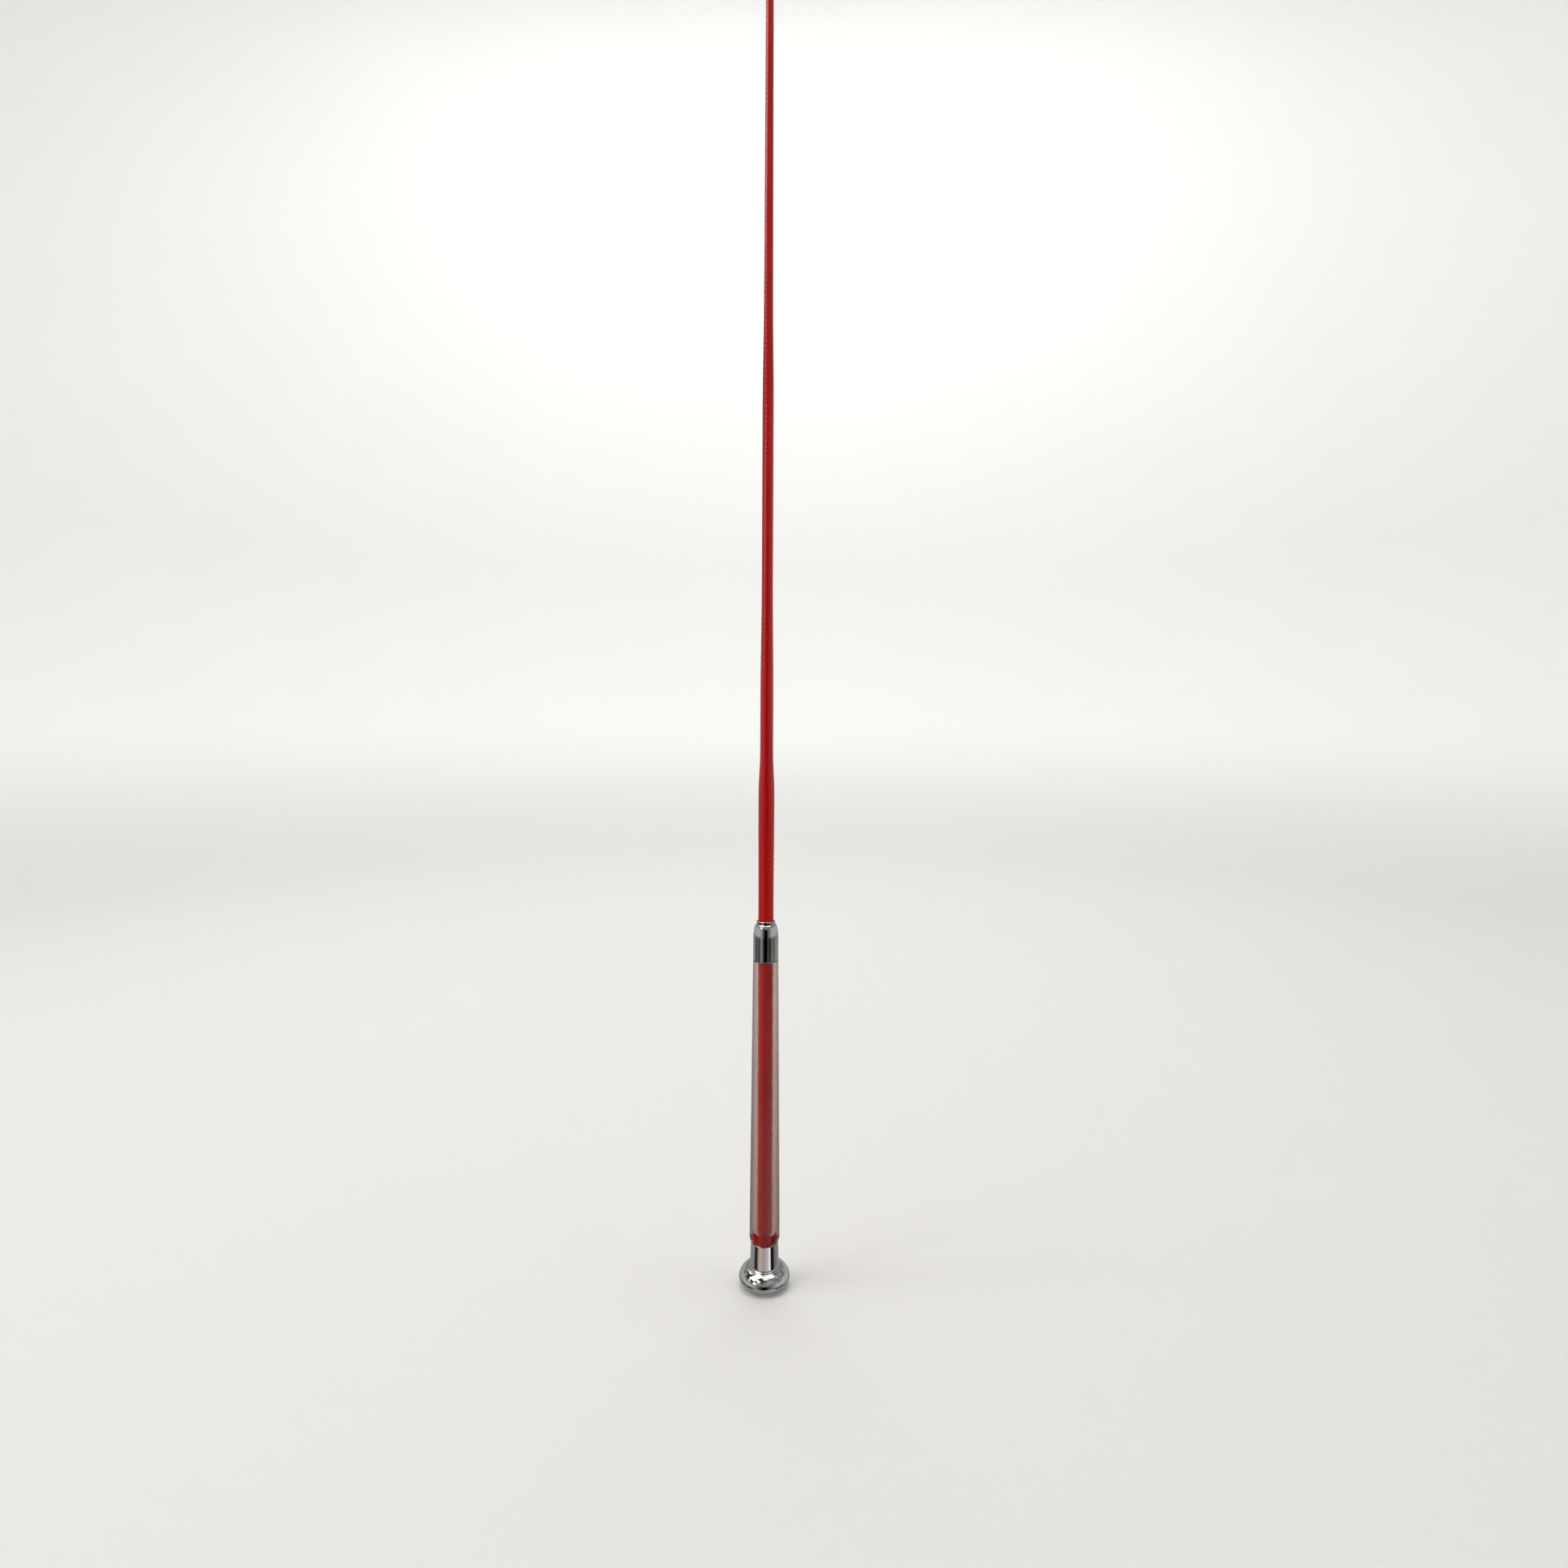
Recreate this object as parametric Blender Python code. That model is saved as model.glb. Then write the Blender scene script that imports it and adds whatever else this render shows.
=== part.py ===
"""A dressage whip with a clear grip sleeve, a chromed ferrule and a chromed nail-head cap.

Units are metres. The shaft runs along +Z, and the origin is the centre of the cap's flat end.
Every piece is turned about the Z axis. Pieces that touch on the real whip keep CLEARANCE here.
"""

import math
from collections import namedtuple

import bmesh
import bpy

LENGTH = 1.100
CLEARANCE = 0.0003

# Cap: a thin shell with a flanged head below and a slightly tapered neck above
HEAD_RADIUS = 0.0165
HEAD_RIM_HEIGHT = 0.0050
HEAD_HEIGHT = 0.0118
HEAD_CURVE = 1.7  # fullness of the head's outline, where 2 would be an ellipse
NECK_TOP_RADIUS = 0.00885
NECK_FLARE = 0.0005  # the neck is this much wider in radius at its base
NECK_FILLET = 0.0006
NECK_EDGE = 0.00035
CAP_HEIGHT = 0.0277
CAP_WALL = 0.0009
DISC_RADIUS = 0.0090
DISC_THICKNESS = 0.0008
DISC_BEVEL = 0.00015
DISC_LEDGE_WIDTH = 0.0009
DISC_LEDGE_THICKNESS = 0.0009

# Inside the cap
WEIGHT_THICKNESS = 0.0060
INSERT_FLOOR = 0.0025
PIN_RADIUS = 0.0010
PIN_HEAD_RADIUS = 0.0022
PIN_HEAD_THICKNESS = 0.0009
PIN_DEPTH_IN_ROD = 0.0120
PIN_POINT = 0.0010

# Glass-fibre rod: parallel up to the start of its taper
ROD_RADIUS = 0.00228
ROD_TIP_RADIUS = 0.00116
ROD_TAPER_START = 0.640

# Wound layers under the braid, from the rod outwards. Each is as thick as butt_thickness in the
# grip and as top_thickness further up, and thins out between fade_start and fade_end.
Underlay = namedtuple("Underlay", "name butt_thickness top_thickness fade_start fade_end")
UNDERLAYS = [
    Underlay("underlay_inner", 0.00035, 0.00035, 0.571, 0.640),
    Underlay("underlay_middle", 0.00030, 0.00030, 0.381, 0.455),
    Underlay("underlay_outer", 0.00042, 0.00067, 0.318, 0.345),
]
SWELL_START = 0.248
SWELL_END = 0.305
UNDERLAY_EDGE = 0.00012  # thickness at which a layer ends
BRAID_THICKNESS = 0.0005

# Thread bindings and the tip
BINDING_THICKNESS = 0.0004
TIP_BINDING_LENGTH = 0.0260
TIP_CAP_SKIRT = 0.0070
TIP_CAP_WALL = 0.0004
TIP_CAP_DOME = 0.0032

# Clear grip sleeve, thicker towards the cap, with a spigot in the ferrule
SLEEVE_LENGTH = 0.1817
SLEEVE_BASE_RADIUS = 0.00975
SLEEVE_TOP_RADIUS = 0.0082
SLEEVE_AIR_GAP = 0.00035
SLEEVE_EDGE_WIDTH = 0.0014
SLEEVE_EDGE_HEIGHT = 0.0035
SLEEVE_SPIGOT_LENGTH = 0.0060

# Ferrule: flush with the top of the sleeve, with a domed crown and a rolled lip
FERRULE_WALL = 0.0007
FERRULE_BODY_LENGTH = 0.0140
FERRULE_CROWN_RISE = 0.0093
FERRULE_SEAT_WIDTH = 0.00025  # flat ring between the crown and the lip
FERRULE_LIP_THICKNESS = 0.0007
FERRULE_LIP_HEIGHT = 0.0022

CHROME = ("chrome", (0.62, 0.61, 0.60), 0.08, 1.0)
STEEL = ("steel", (0.45, 0.45, 0.46), 0.35, 1.0)
CLEAR = ("clear_sleeve", (0.80, 0.76, 0.74), 0.12, 0.0)
RED_THREAD = ("red_thread", (0.42, 0.012, 0.014), 0.40, 0.0)
NYLON = ("black_nylon", (0.02, 0.02, 0.02), 0.45, 0.0)
GLASS_FIBRE = ("glass_fibre", (0.55, 0.56, 0.46), 0.35, 0.0)
COTTON = ("cotton_winding", (0.62, 0.57, 0.47), 0.90, 0.0)
BLACK_THREAD = ("black_thread", (0.03, 0.03, 0.03), 0.60, 0.0)

# Heights that follow from the sizes above
DISC_SEAT = DISC_THICKNESS + CLEARANCE
WEIGHT_TOP = DISC_SEAT + WEIGHT_THICKNESS
INSERT_BASE = WEIGHT_TOP + CLEARANCE
SOCKET_FLOOR = INSERT_BASE + INSERT_FLOOR
SHAFT_BUTT = SOCKET_FLOOR + CLEARANCE
SLEEVE_BASE = CAP_HEIGHT + CLEARANCE
SLEEVE_SHOULDER = SLEEVE_BASE + SLEEVE_LENGTH
SPIGOT_TOP = SLEEVE_SHOULDER + SLEEVE_SPIGOT_LENGTH
FERRULE_BASE = SLEEVE_SHOULDER + CLEARANCE
CROWN_BASE = FERRULE_BASE + FERRULE_BODY_LENGTH
CROWN_TOP = CROWN_BASE + FERRULE_CROWN_RISE
FERRULE_TOP = CROWN_TOP + FERRULE_LIP_HEIGHT
SHAFT_TOP = LENGTH - TIP_CAP_DOME - CLEARANCE

# Radii that follow from the sizes above
NECK_BASE_RADIUS = NECK_TOP_RADIUS + NECK_FLARE
NECK_BORE_RADIUS = NECK_TOP_RADIUS - CAP_WALL
INSERT_RADIUS = NECK_BORE_RADIUS - CLEARANCE
DISC_OPENING = DISC_RADIUS + CLEARANCE
LEDGE_RADIUS = DISC_OPENING - DISC_LEDGE_WIDTH
WEIGHT_RADIUS = LEDGE_RADIUS - CLEARANCE
PIN_HOLE_RADIUS = PIN_RADIUS + CLEARANCE
FERRULE_BORE_RADIUS = SLEEVE_TOP_RADIUS - FERRULE_WALL
SPIGOT_RADIUS = FERRULE_BORE_RADIUS - CLEARANCE


def fade(height, start, end):
    """1 below start, 0 above end, and a smooth ramp between them."""
    share = min(max((height - start) / (end - start), 0), 1)
    return (1 + math.cos(math.pi * share)) / 2


def underlay_thickness(layer, height):
    grip_share = fade(height, SWELL_START, SWELL_END)
    return layer.top_thickness + (layer.butt_thickness - layer.top_thickness) * grip_share


def rod_radius(height):
    share = max((height - ROD_TAPER_START) / (SHAFT_TOP - ROD_TAPER_START), 0)
    return ROD_RADIUS + (ROD_TIP_RADIUS - ROD_RADIUS) * share


def built_up_radius(height, layers):
    """Radius of the rod with its first few underlays on it."""
    radius = rod_radius(height)
    for layer in UNDERLAYS[:layers]:
        cover = fade(height, layer.fade_start, layer.fade_end)
        radius += (CLEARANCE + underlay_thickness(layer, height)) * cover
    return radius


def underlay_end(layer):
    """Height at which a layer has thinned to UNDERLAY_EDGE."""
    full = CLEARANCE + layer.top_thickness
    left = (CLEARANCE + UNDERLAY_EDGE) / full
    share = math.acos(2 * left - 1) / math.pi
    return layer.fade_start + (layer.fade_end - layer.fade_start) * share


def braid_bore(height):
    return built_up_radius(height, len(UNDERLAYS)) + CLEARANCE


def braid_radius(height):
    return braid_bore(height) + BRAID_THICKNESS


def stations(start, end, steps=4):
    """Heights from start to end at which the shaft's outline bends."""
    ramps = [(SWELL_START, SWELL_END)]
    ramps += [(layer.fade_start, layer.fade_end) for layer in UNDERLAYS]
    heights = {start, end, ROD_TAPER_START}
    for low, high in ramps:
        heights.update(low + (high - low) * step / steps for step in range(steps + 1))
    return sorted(height for height in heights if start <= height <= end)


def widest_braid(start, end):
    return max(braid_radius(height) for height in stations(start, end))


def curve(centre, width, height, first, last, steps, fullness=2):
    """Outline points on part of a superellipse, between two angles in degrees."""
    points = []
    for step in range(steps + 1):
        angle = math.radians(first + (last - first) * step / steps)
        across, up = math.cos(angle), math.sin(angle)
        points.append(
            (
                centre[0] + width * math.copysign(abs(across) ** (2 / fullness), across),
                centre[1] + height * math.copysign(abs(up) ** (2 / fullness), up),
            )
        )
    return points


def material(name, colour, roughness, metallic):
    made = bpy.data.materials.get(name) or bpy.data.materials.new(name)
    made.use_nodes = True
    shader = made.node_tree.nodes["Principled BSDF"]
    shader.inputs["Base Color"].default_value = (*colour, 1)
    shader.inputs["Roughness"].default_value = roughness
    shader.inputs["Metallic"].default_value = metallic
    made.diffuse_color = (*colour, 1)
    return made


def turned(name, outline, finish, whip, segments=48):
    """A piece turned from an outline of (radius, height) points that runs down its outer side.

    The outline of a ring closes on itself, and that of a solid piece ends on the axis. The
    piece's own origin is on the axis, at its lowest point.
    """
    base = min(height for _, height in outline)
    form = bmesh.new()
    corners = [form.verts.new((radius, 0, height - base)) for radius, height in outline]
    edges = [form.edges.new(pair) for pair in zip(corners, corners[1:])]
    if outline[0][0] > 0:
        edges.append(form.edges.new((corners[-1], corners[0])))
    bmesh.ops.spin(
        form,
        geom=corners + edges,
        axis=(0, 0, 1),
        cent=(0, 0, 0),
        angle=math.tau,
        steps=segments,
        use_merge=True,
    )
    bmesh.ops.remove_doubles(form, verts=form.verts, dist=1e-6)
    bmesh.ops.recalc_face_normals(form, faces=form.faces)
    mesh = bpy.data.meshes.new(name)
    form.to_mesh(mesh)
    form.free()
    mesh.shade_smooth()
    mesh.set_sharp_from_angle(angle=math.radians(35))
    mesh.materials.append(material(*finish))
    piece = bpy.data.objects.new(name, mesh)
    piece.location.z = base
    piece.parent = whip
    bpy.context.scene.collection.objects.link(piece)
    return piece


def make_cap(whip):
    head_top = (NECK_BASE_RADIUS + NECK_FILLET, HEAD_RIM_HEIGHT)
    head_width = HEAD_RADIUS - head_top[0]
    head_rise = HEAD_HEIGHT - HEAD_RIM_HEIGHT
    foot = (DISC_OPENING, HEAD_RIM_HEIGHT)
    foot_width = HEAD_RADIUS - DISC_OPENING
    ledge_top = DISC_SEAT + DISC_LEDGE_THICKNESS
    neck_edge = (NECK_TOP_RADIUS - NECK_EDGE, CAP_HEIGHT - NECK_EDGE)
    fillet = (NECK_BASE_RADIUS + NECK_FILLET, HEAD_HEIGHT + NECK_FILLET)
    outside = [
        (NECK_BORE_RADIUS, CAP_HEIGHT),
        *curve(neck_edge, NECK_EDGE, NECK_EDGE, 90, 0, 3),
        *curve(fillet, NECK_FILLET, NECK_FILLET, 180, 270, 3)[:-1],
        *curve(head_top, head_width, head_rise, 90, 0, 9, HEAD_CURVE),
        *curve(foot, foot_width, HEAD_RIM_HEIGHT, 0, -90, 8, HEAD_CURVE)[1:],
    ]
    inside = [
        (DISC_OPENING, DISC_SEAT),
        (LEDGE_RADIUS, DISC_SEAT),
        (LEDGE_RADIUS, ledge_top),
        *curve(foot, foot_width - CAP_WALL, HEAD_RIM_HEIGHT - ledge_top, -90, 0, 4, HEAD_CURVE),
        *curve(head_top, head_width - CAP_WALL, head_rise - CAP_WALL, 0, 90, 5, HEAD_CURVE)[1:],
        (NECK_BASE_RADIUS - CAP_WALL, HEAD_HEIGHT - CAP_WALL),
    ]
    turned("cap_shell", outside + inside, CHROME, whip)
    disc = [
        (0, DISC_THICKNESS),
        (DISC_RADIUS, DISC_THICKNESS),
        (DISC_RADIUS, DISC_BEVEL),
        (DISC_RADIUS - DISC_BEVEL, 0),
        (0, 0),
    ]
    turned("cap_end_disc", disc, CHROME, whip)


def make_cap_inside(whip):
    pin_seat = DISC_SEAT + PIN_HEAD_THICKNESS + CLEARANCE
    recess_radius = PIN_HEAD_RADIUS + CLEARANCE
    weight = [
        (PIN_HOLE_RADIUS, WEIGHT_TOP),
        (WEIGHT_RADIUS, WEIGHT_TOP),
        (WEIGHT_RADIUS, DISC_SEAT),
        (recess_radius, DISC_SEAT),
        (recess_radius, pin_seat),
        (PIN_HOLE_RADIUS, pin_seat),
    ]
    turned("balance_weight", weight, STEEL, whip)
    socket_radius = braid_radius(SHAFT_BUTT) + BINDING_THICKNESS + 2 * CLEARANCE
    insert = [
        (socket_radius, CAP_HEIGHT),
        (INSERT_RADIUS, CAP_HEIGHT),
        (INSERT_RADIUS, INSERT_BASE),
        (PIN_HOLE_RADIUS, INSERT_BASE),
        (PIN_HOLE_RADIUS, SOCKET_FLOOR),
        (socket_radius, SOCKET_FLOOR),
    ]
    turned("cap_insert", insert, NYLON, whip)
    head_top = pin_seat - CLEARANCE
    pin_end = SHAFT_BUTT + PIN_DEPTH_IN_ROD - CLEARANCE
    pin = [
        (0, pin_end),
        (PIN_RADIUS / 2, pin_end),
        (PIN_RADIUS, pin_end - PIN_POINT),
        (PIN_RADIUS, head_top),
        (PIN_HEAD_RADIUS, head_top),
        (PIN_HEAD_RADIUS, DISC_SEAT),
        (0, DISC_SEAT),
    ]
    turned("cap_pin", pin, STEEL, whip, 24)


def make_shaft(whip):
    hole_end = SHAFT_BUTT + PIN_DEPTH_IN_ROD
    rod = [
        (0, SHAFT_TOP),
        (rod_radius(SHAFT_TOP), SHAFT_TOP),
        (ROD_RADIUS, ROD_TAPER_START),
        (ROD_RADIUS, SHAFT_BUTT),
        (PIN_HOLE_RADIUS, SHAFT_BUTT),
        (PIN_HOLE_RADIUS, hole_end),
        (0, hole_end),
    ]
    turned("core_rod", rod, GLASS_FIBRE, whip, 24)
    for count, layer in enumerate(UNDERLAYS, 1):
        heights = stations(SHAFT_BUTT, underlay_end(layer))
        outside = [(built_up_radius(height, count), height) for height in reversed(heights)]
        inside = [(built_up_radius(height, count - 1) + CLEARANCE, height) for height in heights]
        turned(layer.name, outside + inside, COTTON, whip, 24)
    heights = stations(SHAFT_BUTT, SHAFT_TOP)
    outside = [(braid_radius(height), height) for height in reversed(heights)]
    inside = [(braid_bore(height), height) for height in heights]
    turned("shaft_braid", outside + inside, RED_THREAD, whip, 32)


def make_binding(name, low, high, whip):
    """Thread wound round the braid from low to high."""
    bottom, top = braid_radius(low) + CLEARANCE, braid_radius(high) + CLEARANCE
    outline = [
        (top, high),
        (top + BINDING_THICKNESS / 2, high),
        (top + BINDING_THICKNESS, high - BINDING_THICKNESS),
        (bottom + BINDING_THICKNESS, low + BINDING_THICKNESS),
        (bottom + BINDING_THICKNESS / 2, low),
        (bottom, low),
    ]
    turned(name, outline, BLACK_THREAD, whip, 32)


def make_tip(whip):
    skirt_end = SHAFT_TOP - TIP_CAP_SKIRT
    bore = braid_radius(skirt_end) + CLEARANCE
    dome_base = SHAFT_TOP + CLEARANCE
    outline = [
        *reversed(curve((0, dome_base), bore + TIP_CAP_WALL, TIP_CAP_DOME, 0, 90, 6)),
        (bore + TIP_CAP_WALL, skirt_end),
        (bore, skirt_end),
        (bore, dome_base),
        (0, dome_base),
    ]
    outline[0] = (0, LENGTH)
    turned("tip_cap", outline, NYLON, whip, 32)
    binding_top = skirt_end - CLEARANCE
    make_binding("tip_binding", binding_top - TIP_BINDING_LENGTH, binding_top, whip)


def make_grip_sleeve(whip):
    bore = widest_braid(SLEEVE_BASE, SPIGOT_TOP) + SLEEVE_AIR_GAP
    edge = (SLEEVE_BASE_RADIUS - SLEEVE_EDGE_WIDTH, SLEEVE_BASE + SLEEVE_EDGE_HEIGHT)
    outline = [
        (bore, SPIGOT_TOP),
        (SPIGOT_RADIUS, SPIGOT_TOP),
        (SPIGOT_RADIUS, SLEEVE_SHOULDER),
        (SLEEVE_TOP_RADIUS, SLEEVE_SHOULDER),
        *curve(edge, SLEEVE_EDGE_WIDTH, SLEEVE_EDGE_HEIGHT, 0, -90, 6),
        (bore, SLEEVE_BASE),
    ]
    turned("grip_sleeve", outline, CLEAR, whip)


def make_ferrule(whip):
    bore = widest_braid(FERRULE_BASE, FERRULE_TOP) + CLEARANCE
    lip_bend = FERRULE_LIP_THICKNESS / 2
    crown = (bore + FERRULE_LIP_THICKNESS + FERRULE_SEAT_WIDTH, CROWN_BASE)
    ceiling = CROWN_TOP - FERRULE_WALL
    shell = [
        *curve((bore + lip_bend, FERRULE_TOP - lip_bend), lip_bend, lip_bend, 180, 0, 6),
        (bore + FERRULE_LIP_THICKNESS, CROWN_TOP),
        *curve(crown, SLEEVE_TOP_RADIUS - crown[0], FERRULE_CROWN_RISE, 90, 0, 8),
        (SLEEVE_TOP_RADIUS, FERRULE_BASE),
        (FERRULE_BORE_RADIUS, FERRULE_BASE),
        (FERRULE_BORE_RADIUS, CROWN_BASE),
        (bore + FERRULE_SEAT_WIDTH, ceiling),
        (bore, ceiling),
    ]
    turned("ferrule_shell", shell, CHROME, whip)
    bush = [
        (bore, CROWN_BASE),
        (SPIGOT_RADIUS, CROWN_BASE),
        (SPIGOT_RADIUS, SPIGOT_TOP + CLEARANCE),
        (bore, SPIGOT_TOP + CLEARANCE),
    ]
    turned("ferrule_bush", bush, NYLON, whip)


def main():
    for existing in list(bpy.data.objects):
        bpy.data.objects.remove(existing)
    whip = bpy.data.objects.new("whip", None)
    bpy.context.scene.collection.objects.link(whip)
    make_cap(whip)
    make_cap_inside(whip)
    make_shaft(whip)
    make_binding("butt_binding", SHAFT_BUTT, CAP_HEIGHT - CLEARANCE, whip)
    make_tip(whip)
    make_grip_sleeve(whip)
    make_ferrule(whip)


main()
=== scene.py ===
"""Looks of a dressage whip: red braided shaft, clear grip sleeve and chromed fittings.

Units are metres. The whip stands upright on the floor with its axis on Z, and the camera looks
along +Y. Round pieces are turned again from the frame's own outlines, with finer curves.
"""

import math

import bmesh
import bpy
import numpy as np
from mathutils import Euler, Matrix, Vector


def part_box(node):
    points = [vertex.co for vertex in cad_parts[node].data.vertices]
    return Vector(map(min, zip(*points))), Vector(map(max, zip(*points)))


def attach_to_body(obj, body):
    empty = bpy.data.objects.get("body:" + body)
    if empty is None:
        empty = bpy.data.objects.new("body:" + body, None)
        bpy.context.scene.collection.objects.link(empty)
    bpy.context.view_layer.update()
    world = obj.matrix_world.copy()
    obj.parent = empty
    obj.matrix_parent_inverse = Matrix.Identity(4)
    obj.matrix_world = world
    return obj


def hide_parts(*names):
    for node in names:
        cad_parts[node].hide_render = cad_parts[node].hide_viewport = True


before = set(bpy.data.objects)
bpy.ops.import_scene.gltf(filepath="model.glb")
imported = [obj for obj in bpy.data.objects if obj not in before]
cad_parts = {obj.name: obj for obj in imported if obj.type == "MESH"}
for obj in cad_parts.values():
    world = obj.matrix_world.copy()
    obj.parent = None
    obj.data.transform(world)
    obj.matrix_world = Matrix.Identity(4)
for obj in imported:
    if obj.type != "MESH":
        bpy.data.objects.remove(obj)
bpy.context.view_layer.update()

BODY = "whip"

# Camera
LENS = 20.5  # mm
SENSOR = 36.0
CAMERA_PLACE = (0.0112, -0.581, 0.3697)
CAMERA_SHIFT = -0.0445
CAMERA_ROLL = math.radians(-0.248)

# Braid: 16 yarns, 8 each way, each over two and under two
YARNS_EACH_WAY = 8
CELL_STEPS = 6  # mesh steps across one yarn
GRIP_PITCH = 0.0037  # height of one chevron
SHAFT_PITCH = 0.0033
GRIP_RELIEF = 0.00040
SHAFT_RELIEF = 0.00013
COLUMN_TURN = math.radians(-101)

# Turned pieces
BEVEL = 0.00014
CORNER_SHARE = 0.35  # the most of a segment that a rounded corner takes
CURVE_STEPS = 4
CORNER = math.radians(38)  # a sharper turn is a corner, a softer one is part of a curve
LONG_TO_SHORT = 2.5  # a segment this much longer than its neighbour is taken as straight

NEAR = 0.00001  # places closer than this are the same

# The sleeve's bore: its gap over the braid's highest yarns, and how deep its end bites into them
SLEEVE_GAP = 0.00006
SLEEVE_BITE = 0.0009
BITE_HEIGHT = 0.0010
BITE_END = 0.0085

# Bindings
THREAD_RADIUS = 0.00029
THREAD_SECTION = 8
THREAD_STEPS = 30  # mesh steps in one turn

# Stage: a round room with a curve from floor to wall and a domed roof
STAGE_RADIUS = 2.7
STAGE_BEND = 0.9
STAGE_HEIGHT = 4.4
STAGE_DOME = 1.2
STAGE_STEPS = 12
STAGE_SINK = 0.0001  # how far the floor lies under the whip's foot

# The reflected room, by the height of the direction looked in: from each low to each high, what
# is below gives way to what is above
FLOOR_TO_LOW = (-0.78, -0.64)
LOW_TO_MIDDLE = (-0.44, -0.36)
MIDDLE_TO_HIGH = (-0.20, -0.12)
HIGH_TO_OVERHEAD = (0.15, 0.42)


# ---------------------------------------------------------------- node helpers


class Shader:
    """A material's node tree, with short calls for its nodes."""

    def __init__(self, tree):
        self.tree = tree

    def add(self, kind, **settings):
        node = self.tree.nodes.new(kind)
        for name, value in settings.items():
            setattr(node, name, value)
        return node

    def join(self, source, target):
        self.tree.links.new(source, target)

    def put(self, value, socket):
        if isinstance(value, bpy.types.NodeSocket):
            self.join(value, socket)
        else:
            socket.default_value = value

    def math(self, operation, *values):
        node = self.add("ShaderNodeMath", operation=operation)
        for value, socket in zip(values, node.inputs):
            self.put(value, socket)
        return node.outputs[0]

    def remap(self, value, low, high, new_low, new_high, smooth=False):
        node = self.add("ShaderNodeMapRange")
        if smooth:
            node.interpolation_type = "SMOOTHSTEP"
        for given, socket in zip((value, low, high, new_low, new_high), node.inputs):
            self.put(given, socket)
        return node.outputs[0]

    def mix(self, factor, first, second):
        node = self.add("ShaderNodeMix", data_type="RGBA")
        self.put(factor, node.inputs[0])
        self.put(first, node.inputs[6])
        self.put(second, node.inputs[7])
        return node.outputs[2]

    def place(self, scale=(1, 1, 1)):
        """Object coordinates, stretched by scale."""
        spot = self.add("ShaderNodeTexCoord")
        stretch = self.add("ShaderNodeMapping")
        stretch.inputs["Scale"].default_value = scale
        self.join(spot.outputs["Object"], stretch.inputs["Vector"])
        return stretch.outputs[0]

    def noise(self, vector, scale, detail=2.0, roughness=0.5):
        node = self.add("ShaderNodeTexNoise")
        self.join(vector, node.inputs["Vector"])
        node.inputs["Scale"].default_value = scale
        node.inputs["Detail"].default_value = detail
        node.inputs["Roughness"].default_value = roughness
        return node.outputs[0]

    def bump(self, height, distance, strength=1.0, under=None):
        node = self.add("ShaderNodeBump")
        node.inputs["Strength"].default_value = strength
        node.inputs["Distance"].default_value = distance
        self.join(height, node.inputs["Height"])
        if under is not None:
            self.join(under, node.inputs["Normal"])
        return node.outputs[0]

    def ramp(self, value, stops):
        node = self.add("ShaderNodeValToRGB")
        band = node.color_ramp
        while len(band.elements) < len(stops):
            band.elements.new(0.5)
        for element, (position, colour) in zip(band.elements, stops):
            element.position = position
            element.color = (*colour, 1)
        self.join(value, node.inputs[0])
        return node.outputs[0]


def material(name, **fixed):
    """A new material and its Principled shader, with the fixed sockets set on the shader."""
    made = bpy.data.materials.new(name)
    made.use_nodes = True
    shader = made.node_tree.nodes["Principled BSDF"]
    for socket, value in fixed.items():
        shader.inputs[socket.replace("_", " ").title().replace("Ior", "IOR")].default_value = value
    return made, shader, Shader(made.node_tree)


# ---------------------------------------------------------------- materials


def chrome():
    """Chromed pressed brass: faint lengthwise waves from the draw, and fine handling marks."""
    made, shader, nodes = material("chrome", metallic=1.0)
    tarnish = nodes.noise(nodes.place((60, 60, 60)), 1.0, 3.0)
    nodes.join(
        nodes.ramp(tarnish, [(0.35, (0.60, 0.585, 0.57)), (0.65, (0.66, 0.65, 0.64))]),
        shader.inputs["Base Color"],
    )
    smear = nodes.noise(nodes.place((220, 220, 90)), 1.0, 4.0, 0.6)
    nodes.join(nodes.remap(smear, 0.35, 0.75, 0.035, 0.13), shader.inputs["Roughness"])
    waves = nodes.bump(nodes.noise(nodes.place((330, 330, 14)), 1.0, 1.0), 0.00003, 0.5)
    marks = nodes.noise(nodes.place((900, 900, 5200)), 1.0, 2.0)
    nodes.join(nodes.bump(marks, 0.000004, 0.4, waves), shader.inputs["Normal"])
    return made


def steel():
    made, shader, nodes = material("zinc_plated_steel", metallic=1.0)
    cloud = nodes.noise(nodes.place((400, 400, 400)), 1.0, 3.0)
    nodes.join(
        nodes.ramp(cloud, [(0.35, (0.36, 0.37, 0.38)), (0.7, (0.52, 0.52, 0.51))]),
        shader.inputs["Base Color"],
    )
    nodes.join(nodes.remap(cloud, 0.3, 0.7, 0.28, 0.46), shader.inputs["Roughness"])
    tool_lines = nodes.noise(nodes.place((30, 30, 9000)), 1.0, 1.0)
    nodes.join(nodes.bump(tool_lines, 0.00001, 0.6), shader.inputs["Normal"])
    return made


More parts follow.
